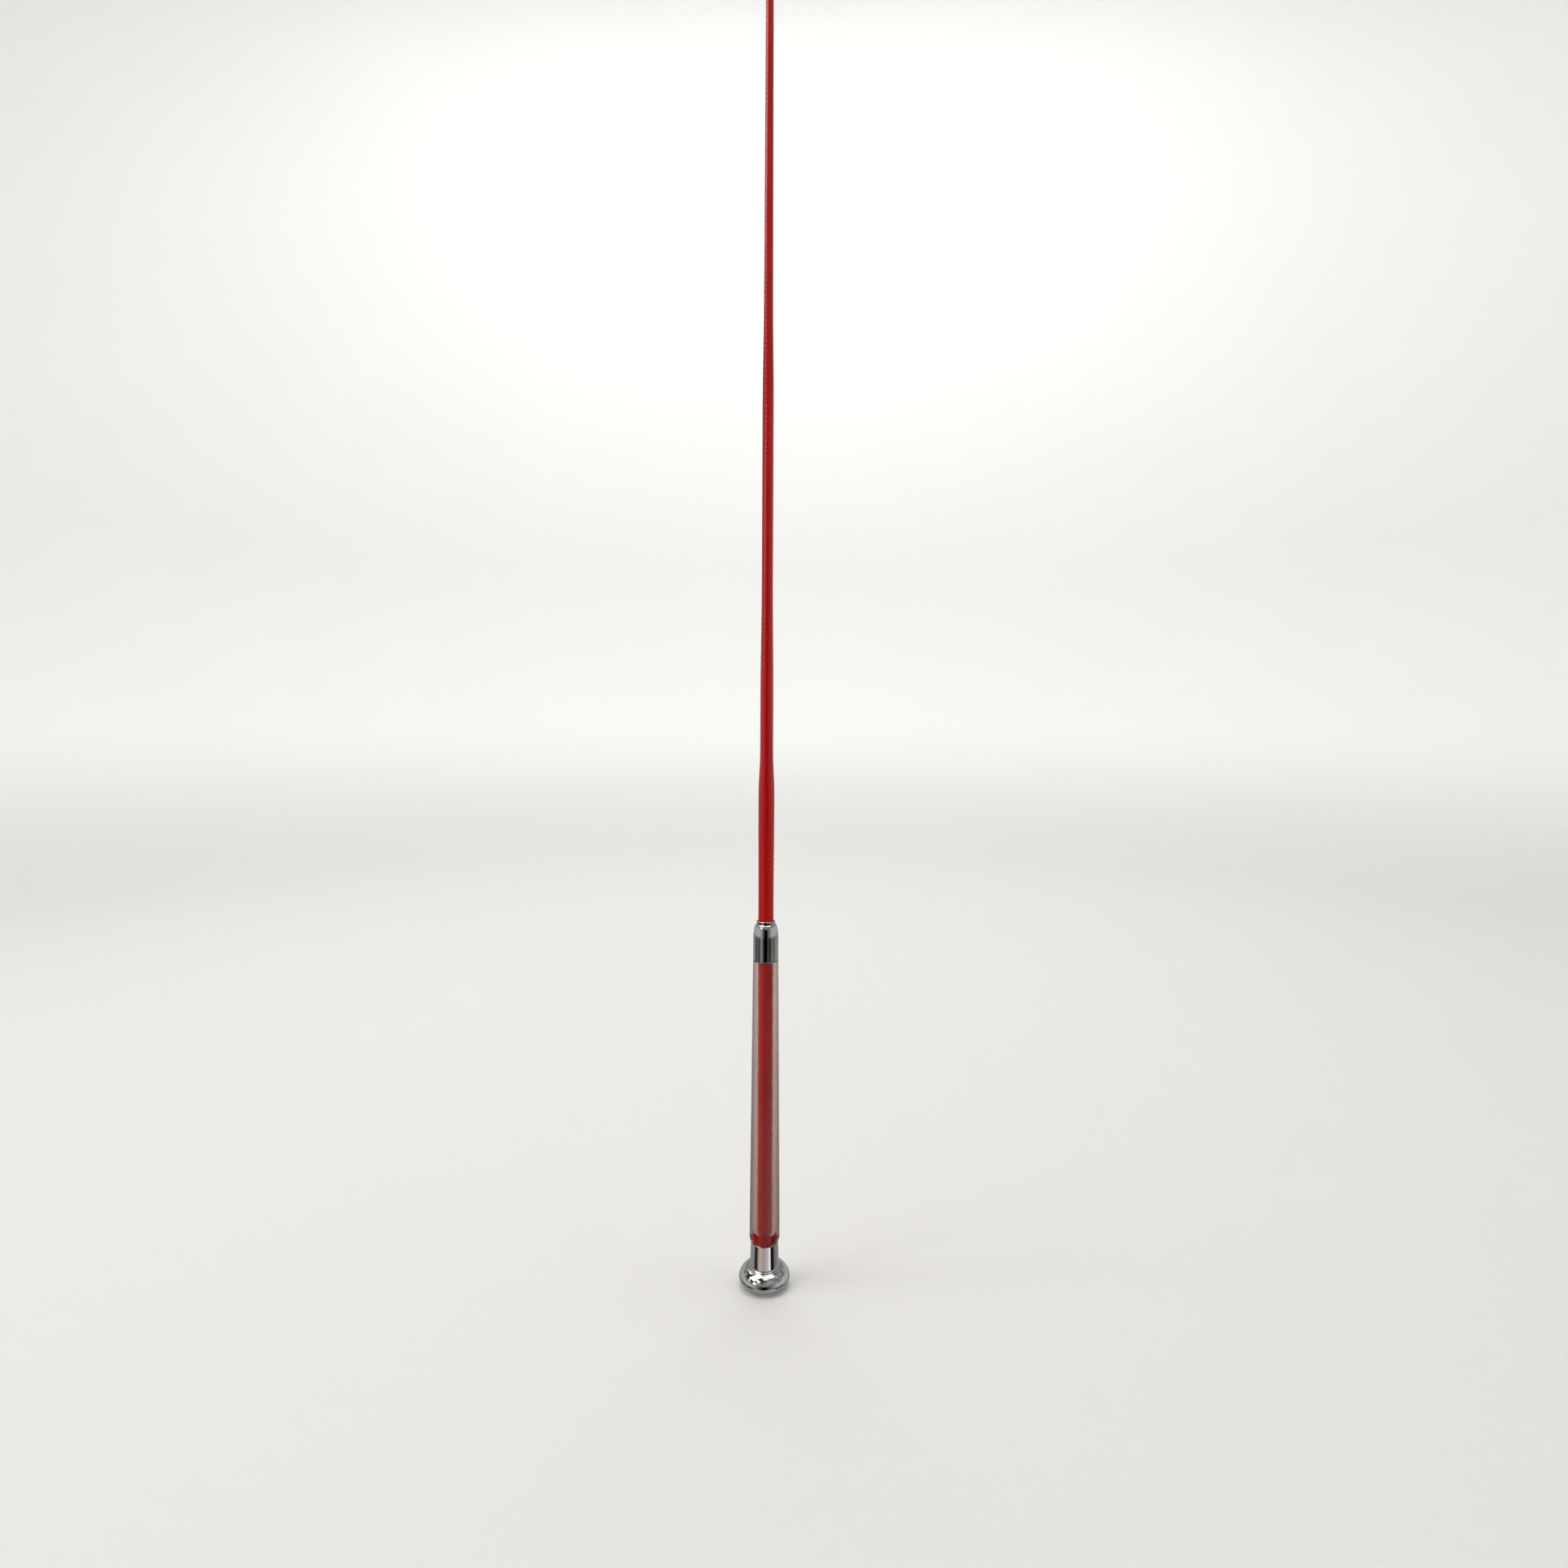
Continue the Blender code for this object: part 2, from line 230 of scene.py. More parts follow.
def yarn(name, pale, deep, fibre_streak_and_crease_shade, **fixed):
    """Red nylon yarn. Filaments run along each yarn as fine dark streaks, and the creases between
    yarns, where the relief is low, are darkened with painted shade.
    """
    made, shader, nodes = material(name, **fixed)
    strand = nodes.add("ShaderNodeUVMap", uv_map="strand").outputs[0]
    stretch = nodes.add("ShaderNodeMapping")
    stretch.inputs["Scale"].default_value = (11, 0.7, 1)
    nodes.join(strand, stretch.inputs["Vector"])
    filaments = nodes.noise(stretch.outputs[0], 2.2, 2.0, 0.6)
    patches = nodes.noise(nodes.place((90, 90, 22)), 1.0, 2.0)
    body = nodes.mix(nodes.remap(patches, 0.35, 0.65, 0.0, 1.0), (*deep, 1), (*pale, 1))
    # the filaments' dark streaks along each yarn are the yarn's own uneven tone, drawn toward the
    # same dark colour
    body = nodes.mix(nodes.remap(filaments, 0.3, 0.75, 0.35, 0.0), body, (*fibre_streak_and_crease_shade, 1))
    relief = nodes.add("ShaderNodeAttribute", attribute_name="relief").outputs["Fac"]
    # painted shade: where the relief is low, in the creases between yarns, the colour is darkened
    # toward the dark shade colour
    colour = nodes.mix(nodes.remap(relief, 0.0, 0.5, 0.7, 0.0, smooth=True), body, (*fibre_streak_and_crease_shade, 1))
    nodes.join(colour, shader.inputs["Base Color"])
    nodes.join(nodes.remap(filaments, 0.3, 0.7, 0.36, 0.56), shader.inputs["Roughness"])
    nodes.join(nodes.bump(filaments, 0.00006, 0.55), shader.inputs["Normal"])
    return made


def lacquered_yarn():
    return yarn(
        "lacquered_red_yarn",
        (0.53, 0.0022, 0.0012),
        (0.43, 0.0011, 0.0007),
        # painted shade in the creases between yarns, also the dark of the filament streaks
        (0.36, 0.0010, 0.0006),
        specular_ior_level=0.03,
        coat_weight=1.0,
        coat_roughness=0.13,
        coat_ior=1.5,
        sheen_weight=0.30,
        sheen_roughness=0.27,
        sheen_tint=(1.0, 0.80, 0.78, 1),
    )


def dry_yarn():
    return yarn(
        "red_yarn_in_sleeve",
        (0.95, 0.012, 0.010),
        (0.76, 0.005, 0.005),
        # painted shade in the creases between yarns, also the dark of the filament streaks
        (0.42, 0.003, 0.003),
        specular_ior_level=0.10,
    )


def clear_plastic():
    """Soft clear plastic, slightly smoky, that lets the lamps through to the braid inside."""
    made, shader, nodes = material(
        "clear_sleeve", transmission_weight=1.0, ior=1.46, base_color=(0.97, 0.965, 0.96, 1)
    )
    grease = nodes.noise(nodes.place((120, 120, 40)), 1.0, 4.0, 0.6)
    nodes.join(nodes.remap(grease, 0.3, 0.75, 0.13, 0.27), shader.inputs["Roughness"])
    draw = nodes.bump(nodes.noise(nodes.place((300, 300, 12)), 1.0, 2.0), 0.00006, 0.5)
    nodes.join(draw, shader.inputs["Normal"])
    open_to_lamps = nodes.add("ShaderNodeBsdfTransparent")
    open_to_lamps.inputs[0].default_value = (0.98, 0.98, 0.98, 1)
    choice = nodes.add("ShaderNodeMixShader")
    nodes.join(nodes.add("ShaderNodeLightPath").outputs["Is Shadow Ray"], choice.inputs[0])
    nodes.join(shader.outputs[0], choice.inputs[1])
    nodes.join(open_to_lamps.outputs[0], choice.inputs[2])
    end = made.node_tree.nodes["Material Output"]
    nodes.join(choice.outputs[0], end.inputs["Surface"])
    smoke = nodes.add("ShaderNodeVolumeAbsorption")
    smoke.inputs["Color"].default_value = (0.63, 0.49, 0.455, 1)
    smoke.inputs["Density"].default_value = 180
    nodes.join(smoke.outputs[0], end.inputs["Volume"])
    return made


def thread():
    made, shader, nodes = material("black_waxed_thread", coat_weight=0.25, coat_roughness=0.35)
    ply = nodes.noise(nodes.place((2600, 2600, 5200)), 1.0, 2.0)
    nodes.join(
        nodes.ramp(ply, [(0.35, (0.010, 0.010, 0.011)), (0.7, (0.045, 0.043, 0.042))]),
        shader.inputs["Base Color"],
    )
    nodes.join(nodes.remap(ply, 0.3, 0.7, 0.5, 0.8), shader.inputs["Roughness"])
    nodes.join(nodes.bump(ply, 0.00003, 0.7), shader.inputs["Normal"])
    return made


def nylon():
    made, shader, nodes = material("black_nylon")
    flow = nodes.noise(nodes.place((500, 500, 500)), 1.0, 3.0)
    nodes.join(
        nodes.ramp(flow, [(0.35, (0.012, 0.012, 0.013)), (0.7, (0.028, 0.027, 0.027))]),
        shader.inputs["Base Color"],
    )
    nodes.join(nodes.remap(flow, 0.3, 0.7, 0.36, 0.55), shader.inputs["Roughness"])
    nodes.join(nodes.bump(flow, 0.00002, 0.5), shader.inputs["Normal"])
    return made


def glass_fibre():
    made, shader, nodes = material("glass_fibre", coat_weight=0.4, coat_roughness=0.2)
    roving = nodes.noise(nodes.place((2200, 2200, 9)), 1.0, 3.0)
    nodes.join(
        nodes.ramp(roving, [(0.3, (0.36, 0.38, 0.27)), (0.7, (0.66, 0.66, 0.55))]),
        shader.inputs["Base Color"],
    )
    nodes.join(nodes.remap(roving, 0.3, 0.7, 0.3, 0.5), shader.inputs["Roughness"])
    nodes.join(nodes.bump(roving, 0.00002, 0.6), shader.inputs["Normal"])
    return made


def cotton_winding():
    """Cotton thread wound side by side, so the turns show as fine rings: in the colour the rings
    are painted shade, darker in the grooves between turns, and they also drive the bump.
    """
    made, shader, nodes = material("cotton_winding")
    rings = nodes.add("ShaderNodeTexWave", wave_type="BANDS", bands_direction="Z")
    rings.inputs["Scale"].default_value = 1.0
    rings.inputs["Distortion"].default_value = 1.2
    nodes.join(nodes.place((30, 30, 1250)), rings.inputs["Vector"])
    fluff = nodes.noise(nodes.place((1800, 1800, 2600)), 1.0, 3.0)
    # painted shade: the rings' dark bands sit in the grooves between turns; the fluff is the
    # cotton's own uneven tone
    tone = nodes.mix(0.5, rings.outputs[0], fluff)
    nodes.join(
        nodes.ramp(tone, [(0.2, (0.36, 0.31, 0.23)), (0.75, (0.70, 0.64, 0.53))]),
        shader.inputs["Base Color"],
    )
    nodes.join(nodes.remap(fluff, 0.3, 0.7, 0.8, 0.98), shader.inputs["Roughness"])
    nodes.join(nodes.bump(tone, 0.00012, 0.7), shader.inputs["Normal"])
    return made


def pale_paper():
    """Pale backdrop paper, painted a little greyer where it lies on the floor, as painted shade."""
    made, shader, nodes = material("pale_backdrop", roughness=0.95)
    parts = nodes.add("ShaderNodeSeparateXYZ")
    nodes.join(nodes.place(), parts.inputs[0])
    # painted shade: the paper is greyer on the floor and paler where it rises into the wall; the
    # tooth below is the paper's own uneven tone
    rise = nodes.remap(parts.outputs["Z"], 0.0, 0.35, 0.0, 1.0, True)
    tone = nodes.mix(rise, (0.68, 0.672, 0.657, 1), (0.85, 0.846, 0.838, 1))
    tooth = nodes.noise(nodes.place((3, 3, 3)), 1.0, 2.0)
    tone = nodes.mix(nodes.remap(tooth, 0.3, 0.7, 0.0, 0.03), tone, (0.6, 0.59, 0.58, 1))
    nodes.join(tone, shader.inputs["Base Color"])
    return made


# ---------------------------------------------------------------- turned pieces


def outline_of(node):
    """Outline points (radius, height) of a turned CAD node, in order, and whether they close."""
    form = bmesh.new()
    form.from_mesh(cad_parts[node].data)
    bmesh.ops.remove_doubles(form, verts=form.verts, dist=2e-6)
    flat = [v for v in form.verts if v.co.x > -4e-6 and abs(v.co.y) < 4e-6]
    kept = set(flat)
    next_to = {v: [e.other_vert(v) for e in v.link_edges if e.other_vert(v) in kept] for v in flat}
    ends = [v for v in flat if len(next_to[v]) == 1]
    closed = not ends
    here = ends[0] if ends else max(flat, key=lambda v: (v.co.z, v.co.x))
    order = [here]
    seen = {here}
    while True:
        ahead = [v for v in next_to[here] if v not in seen]
        if not ahead:
            break
        here = ahead[0]
        seen.add(here)
        order.append(here)
    points = [np.array((max(v.co.x, 0.0), v.co.z)) for v in order]
    form.free()
    if len(points) != len(flat):
        raise ValueError(f"{node} isn't one turned outline: {len(points)} of {len(flat)} points")
    return points, closed


def unit(vector):
    return vector / np.linalg.norm(vector)


def refine(points, closed):
    """The outline with its corners rounded by BEVEL and its curved runs drawn finer."""
    count = len(points)

    def at(index):
        return points[index % count]

    def corner(index):
        if not closed and index in (0, count - 1):
            return True
        before, after = at(index) - at(index - 1), at(index + 1) - at(index)
        return math.acos(np.clip(unit(before) @ unit(after), -1, 1)) > CORNER

    def tangent(index):
        before, after = at(index) - at(index - 1), at(index + 1) - at(index)
        long, short = np.linalg.norm(before), np.linalg.norm(after)
        if long > LONG_TO_SHORT * short:
            return unit(before)
        if short > LONG_TO_SHORT * long:
            return unit(after)
        return unit(before * short / long + after * long / short)

    finer = []
    for index in range(count if closed else count - 1):
        start, end = at(index), at(index + 1)
        length = np.linalg.norm(end - start)
        along = (end - start) / length
        cut = min(BEVEL, CORNER_SHARE * length)
        sharp_start, sharp_end = corner(index), corner(index + 1)
        leaves = along if sharp_start else tangent(index)
        enters = along if sharp_end else tangent(index + 1)
        first = start + along * cut if sharp_start and (closed or index > 0) else start
        last = end - along * cut if sharp_end and (closed or index + 1 < count - 1) else end
        span = np.linalg.norm(last - first)
        if min(leaves @ along, enters @ along) < 0.9999:
            shares = [step / CURVE_STEPS for step in range(CURVE_STEPS + 1)]
        elif span > 4 * BEVEL:
            shares = [0, BEVEL / span, 1 - BEVEL / span, 1]  # keeps the shading of long runs flat
        else:
            shares = [0, 1]
        for t in shares:
            finer.append(
                first * (2 * t**3 - 3 * t**2 + 1)
                + leaves * span * (t**3 - 2 * t**2 + t)
                + last * (3 * t**2 - 2 * t**3)
                + enters * span * (t**3 - t**2)
            )
        if sharp_end and (closed or index + 1 < count - 1):
            onward = at(index + 2) - end
            reach = min(BEVEL, CORNER_SHARE * np.linalg.norm(onward))
            target = end + unit(onward) * reach
            for t in (0.3, 0.7):
                finer.append(last * (1 - t) ** 2 + end * 2 * t * (1 - t) + target * t**2)
    kept = [finer[0]]
    for point in finer[1:]:
        if np.linalg.norm(point - kept[-1]) > 1e-6:
            kept.append(point)
    if closed and np.linalg.norm(kept[-1] - kept[0]) < 1e-6:
        kept.pop()
    return kept


def finished(mesh, finish):
    """A smooth object of the mesh's own name, in one material."""
    mesh.shade_smooth()
    mesh.materials.append(finish)
    piece = bpy.data.objects.new(mesh.name, mesh)
    bpy.context.scene.collection.objects.link(piece)
    return piece


def turned(name, outline, closed, finish, segments):
    """A smooth piece turned about Z from an outline in order."""
    form = bmesh.new()
    corners = [form.verts.new((radius, 0, height)) for radius, height in outline]
    edges = [form.edges.new(pair) for pair in zip(corners, corners[1:])]
    if closed:
        edges.append(form.edges.new((corners[-1], corners[0])))
    bmesh.ops.spin(
        form,
        geom=corners + edges,
        axis=(0, 0, 1),
        cent=(0, 0, 0),
        angle=math.tau,
        steps=segments,
        use_merge=True,
    )
    bmesh.ops.remove_doubles(form, verts=form.verts, dist=5e-7)
    bmesh.ops.recalc_face_normals(form, faces=form.faces)
    mesh = bpy.data.meshes.new(name)
    form.to_mesh(mesh)
    form.free()
    return finished(mesh, finish)


def attach(piece, slot, *nodes):
    """Puts a finished piece on the whip in place of its CAD nodes."""
    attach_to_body(piece, BODY)
    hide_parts(*nodes)


def squeezed(points, braid):
    """The sleeve's outline with its soft bore close over the braid, and biting at the cap."""
    bore = min(radius for radius, _ in points)
    low = min(height for _, height in points)
    high = max(height for _, height in points)
    touching = braid.widest(low, high)
    loose, tight = touching + SLEEVE_GAP, touching - SLEEVE_BITE
    made = []
    for index, (radius, height) in enumerate(points):
        on_bore = radius < bore + NEAR
        if on_bore and height < low + NEAR:
            end = [(tight, low), (tight, low + BITE_HEIGHT)]
            for share in (0.25, 0.5, 0.75, 1.0):
                ease = share * share * (3 - 2 * share)
                rise = BITE_HEIGHT + share * (BITE_END - BITE_HEIGHT)
                end.append((tight + ease * (loose - tight), low + rise))
            onward = points[(index + 1) % len(points)]
            made += end if onward[0] < bore + NEAR else end[::-1]
        else:
            made.append((loose if on_bore else radius, height))
    return [np.array(point) for point in made]


def turned_again(node, slot, finish, segments=128):
    """Replaces a turned node with the same shape, finer and with rounded corners."""
    points, closed = outline_of(node)
    attach(turned(node + "_finished", refine(points, closed), closed, finish, segments), slot, node)


# ---------------------------------------------------------------- braid


def wall_of(node):
    """Heights of a tube node's rings, with its inner and outer radius there."""
    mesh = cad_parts[node].data
    places = np.empty(len(mesh.vertices) * 3)
    mesh.vertices.foreach_get("co", places)
    places = places.reshape(-1, 3)
    radii = np.hypot(places[:, 0], places[:, 1])
    heights = np.unique(np.round(places[:, 2], 5))
    near = [np.abs(places[:, 2] - height) < 2e-5 for height in heights]
    inner = np.array([radii[ring].min() for ring in near])
    outer = np.array([radii[ring].max() for ring in near])
    return heights, inner, outer


def float_height(across, along):
    """Height from 0 to 1 on one float: a yarn's stretch over two others, from along 0 to 2."""
    side = np.clip(1 - np.abs(2 * across) ** 2.6, 0, 1) ** 0.5
    end = np.clip(1 - np.abs(along - 1) ** 3.0, 0, 1) ** 0.6
    return side * end


def float_places(cell_u, cell_v, part_u, part_v):
    """Across and along on the float that covers a cell, and the float's own number from 0 to 1."""
    phase = (cell_u + cell_v) % 4
    first_way = phase < 2
    across = np.where(first_way, part_u, part_v) - 0.5
    along = np.where(first_way, part_v + phase, part_u + phase - 2)
    start_u = np.where(first_way, cell_u, cell_u - (phase - 2)) % YARNS_EACH_WAY
    start_m = np.where(first_way, cell_v - phase - cell_u, cell_v - cell_u + (phase - 2))
    number = np.sin(start_u * 12.9898 + start_m * 78.233) * 43758.5453
    return across, along, number - np.floor(number)


class Braid:
    """A lattice over the shaft whose lines follow the yarns, so yarn edges lie on mesh edges."""

    def __init__(self, node, grip_end):
        self.node = node
        self.heights, self.inner, self.outer = wall_of(node)
        self.around = YARNS_EACH_WAY * CELL_STEPS
        low, high = self.heights[0], self.heights[-1]
        rows = [low]
        while rows[-1] < high:
            pitch = GRIP_PITCH if rows[-1] < grip_end else SHAFT_PITCH
            rows.append(rows[-1] + pitch / (2 * CELL_STEPS))
        rows = np.array(rows)
        self.rows = low + (rows - low) * (high - low) / (rows[-1] - low)
        self.grip_end = grip_end

    def widest(self, low, high):
        return np.interp(np.linspace(low, high, 50), self.heights, self.outer).max()

    def row_at(self, height):
        return int(np.argmin(np.abs(self.rows - height)))

    def ring_place(self, step, row):
        """Angle and height of the lattice's points: each row is turned by half a step."""
        angle = math.tau * (2 * step + row) / (2 * self.around) + COLUMN_TURN
        return angle, self.rows[row]

    def piece(self, name, low_row, high_row, finish):
        """The braid between two rows, closed by its bore and its ends."""
        row, step = np.meshgrid(
            np.arange(low_row - 1, high_row + 1), np.arange(self.around), indexing="ij"
        )
        row, step = row.ravel(), step.ravel()
        angle, height = self.ring_place(step, row)
        cell_u, cell_v = step // CELL_STEPS, (step + row) // CELL_STEPS
        part_u, part_v = step % CELL_STEPS / CELL_STEPS, (step + row) % CELL_STEPS / CELL_STEPS
        across, along, number = float_places(cell_u, cell_v, part_u, part_v)
        lift = float_height(across, along)
        in_grip = np.clip((self.grip_end - height) / 0.004, 0, 1)
        relief = SHAFT_RELIEF + (GRIP_RELIEF - SHAFT_RELIEF) * in_grip
        uneven = relief * (0.10 + 0.75 * in_grip) * number
        radius = np.interp(height, self.heights, self.outer) - relief + (relief - uneven) * lift
        points = np.column_stack((radius * np.cos(angle), radius * np.sin(angle), height))

        middle, first = np.meshgrid(
            np.arange(low_row, high_row), np.arange(self.around), indexing="ij"
        )
        middle, first = middle.ravel(), first.ravel()
        second = (first + 1) % self.around

        def index(step_, row_):
            return (row_ - low_row + 1) * self.around + step_

        skin = np.column_stack(
            (
                index(first, middle),
                index(second, middle - 1),
                index(second, middle),
                index(first, middle + 1),
            )
        )
        strand = self.strand_places(first, middle)
        bore, rim = self.bore(low_row, high_row, points, index)
        faces = np.concatenate((skin, rim))
        mesh = self.mesh(name, np.concatenate((points, bore)), faces)
        uv = mesh.uv_layers.new(name="strand")
        places = np.zeros((len(faces) * 4, 2))
        places[: len(strand)] = strand
        uv.data.foreach_set("uv", places.ravel())
        lifts = mesh.attributes.new("relief", "FLOAT", "POINT")
        lifts.data.foreach_set("value", np.concatenate((lift, np.zeros(len(bore)))))
        mesh.validate()
        attach(finished(mesh, finish), "red_thread", self.node)

    def strand_places(self, first, middle):
        """For each face's four corners, where they lie across and along their yarn."""
        cell_u, cell_v = first // CELL_STEPS, (first + middle) // CELL_STEPS
        corners = []
        for add_u, add_v in ((0, 0), (1, 0), (1, 1), (0, 1)):
            part_u = (first + add_u) / CELL_STEPS - cell_u
            part_v = (first + middle + add_v) / CELL_STEPS - cell_v
            across, along, number = float_places(cell_u, cell_v, part_u, part_v)
            corners.append(np.column_stack((across + 3 * number, along + 40 * number)))
        return np.stack(corners, axis=1).reshape(-1, 2)

    def bore(self, low_row, high_row, points, index):
        """Points of the bore's rings and the faces of bore and ends."""
        count = 2 * self.around
        turn = np.arange(count)

        def edge(row):
            """Points along the zigzag that ends the skin, between this row and the next."""
            odd = (turn - row) % 2
            own_row = row + odd
            step = ((turn - own_row) // 2) % self.around
            return index(step, own_row)

        low_edge, high_edge = edge(low_row - 1), edge(high_row - 1)
        between = self.heights[
            (self.heights > self.rows[low_row] + 0.001)
            & (self.heights < self.rows[high_row - 1] - 0.001)
        ]
        levels = [points[low_edge, 2], *[np.full(count, h) for h in between], points[high_edge, 2]]
        angle = math.tau * turn / count + COLUMN_TURN
        rings = []
        for level in levels:
            radius = np.interp(level, self.heights, self.inner)
            rings.append(np.column_stack((radius * np.cos(angle), radius * np.sin(angle), level)))
        start = len(points)
        ring_index = [start + number * count + turn for number in range(len(rings))]
        chain = [low_edge, *ring_index, high_edge]
        faces = [
            np.column_stack((below, above, np.roll(above, -1), np.roll(below, -1)))
            for below, above in zip(chain, chain[1:])
        ]
        return np.concatenate(rings), np.concatenate(faces)

    def mesh(self, name, points, faces):
        mesh = bpy.data.meshes.new(name)
        mesh.vertices.add(len(points))
        mesh.vertices.foreach_set("co", points.ravel())
        mesh.loops.add(faces.size)
        mesh.loops.foreach_set("vertex_index", faces.ravel())
        mesh.polygons.add(len(faces))
        mesh.polygons.foreach_set("loop_start", np.arange(len(faces)) * 4)
        mesh.update(calc_edges=True)
        return mesh


# ---------------------------------------------------------------- bindings


def wound_thread(node, finish, braid):
    """Thread wound side by side over the braid, as one helical strand with closed ends."""
    low, high = (corner.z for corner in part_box(node))
    heights, _, outer = wall_of(node)
    reach = (outer - np.interp(heights, braid.heights, braid.outer)).max()
    turns = (high - low - 2 * THREAD_RADIUS) / (2 * THREAD_RADIUS * 1.01)
    steps = int(turns * THREAD_STEPS)
    share = np.linspace(0, 1, steps + 1)
    centre = low + THREAD_RADIUS + share * (high - low - 2 * THREAD_RADIUS)
    angle = share * turns * math.tau
    section = math.tau * np.arange(THREAD_SECTION) / THREAD_SECTION
    middle = np.interp(centre, braid.heights, braid.outer) + reach - THREAD_RADIUS
    radius = middle[:, None] + THREAD_RADIUS * np.cos(section)
    height = centre[:, None] + THREAD_RADIUS * np.sin(section)
    points = np.stack(
        (radius * np.cos(angle)[:, None], radius * np.sin(angle)[:, None], height), axis=-1
    ).reshape(-1, 3)
    row, spot = np.meshgrid(np.arange(steps), np.arange(THREAD_SECTION), indexing="ij")
    here, beside = spot.ravel(), ((spot + 1) % THREAD_SECTION).ravel()
    base = row.ravel() * THREAD_SECTION
    faces = np.column_stack(
        (base + here, base + THREAD_SECTION + here, base + THREAD_SECTION + beside, base + beside)
    ).tolist()
    last = steps * THREAD_SECTION
    faces.append(list(range(THREAD_SECTION)))
    faces.append([last + spot for spot in reversed(range(THREAD_SECTION))])
    mesh = bpy.data.meshes.new(node + "_wound")
    mesh.from_pydata([tuple(point) for point in points], [], faces)
    mesh.validate()
    attach(finished(mesh, finish), "black_thread", node)


# ---------------------------------------------------------------- studio


def make_camera():
    lens = bpy.data.cameras.new("camera")
    lens.sensor_width = SENSOR
    lens.lens = LENS
    lens.shift_y = CAMERA_SHIFT
    lens.clip_start = 0.01
    lens.clip_end = 50
    camera = bpy.data.objects.new("camera", lens)
    camera.location = CAMERA_PLACE
    camera.rotation_euler = Euler((math.pi / 2, CAMERA_ROLL, 0))
    bpy.context.scene.collection.objects.link(camera)
    bpy.context.scene.camera = camera


def make_stage():
    """A pale floor that curves up into a closed pale room, which glossy surfaces don't see."""
    outline = [(0, 0)]
    quarter = [math.pi / 2 * step / STAGE_STEPS for step in range(STAGE_STEPS + 1)]
    for angle in quarter:
        across = STAGE_RADIUS - STAGE_BEND * (1 - math.sin(angle))
        outline.append((across, STAGE_BEND * (1 - math.cos(angle))))
    for angle in quarter:
        rise = STAGE_HEIGHT - STAGE_DOME * (1 - math.sin(angle))
        outline.append((STAGE_RADIUS * math.cos(angle), rise))
    outline[-1] = (0, STAGE_HEIGHT)
    stage = turned("stage", outline, False, pale_paper(), 96)
    stage.location.z = -STAGE_SINK
    stage.visible_glossy = False


def make_lamp(name, place, target, size, power, colour=(1, 1, 1)):
    lamp = bpy.data.lights.new(name, "AREA")
    lamp.shape = "RECTANGLE"
    lamp.size, lamp.size_y = size
    lamp.energy = power
    lamp.color = colour
    holder = bpy.data.objects.new(name, lamp)
    holder.location = place
    aim = Vector(target) - Vector(place)
    holder.rotation_euler = aim.to_track_quat("-Z", "Y").to_euler()
    holder.visible_camera = False
    bpy.context.scene.collection.objects.link(holder)


def make_window(name, place, target, side, gap, power, colour):
    """A light of four square panes."""
    aim = (Vector(target) - Vector(place)).to_track_quat("-Z", "Y")
    for row in (-0.5, 0.5):
        for column in (-0.5, 0.5):
            shift = aim @ Vector((column, row, 0)) * (side + gap)
            spot, focus = Vector(place) + shift, Vector(target) + shift
            make_lamp(f"{name}_{column}_{row}", spot, focus, (side, side), power, colour)


def angle_stops(stops):
    """Ramp stops from (degrees, colour), where 0 degrees is the camera's side and 90 its right."""
    made = []
    for degrees, colour in stops:
        if not isinstance(colour, tuple):
            colour = (colour, colour, colour)
        made.append((degrees / 360 + 0.5, colour))
    return made


def greys(*stops):
    """Ramp stops from (place, grey)."""
    return [(place, (grey,) * 3) for place, grey in stops]


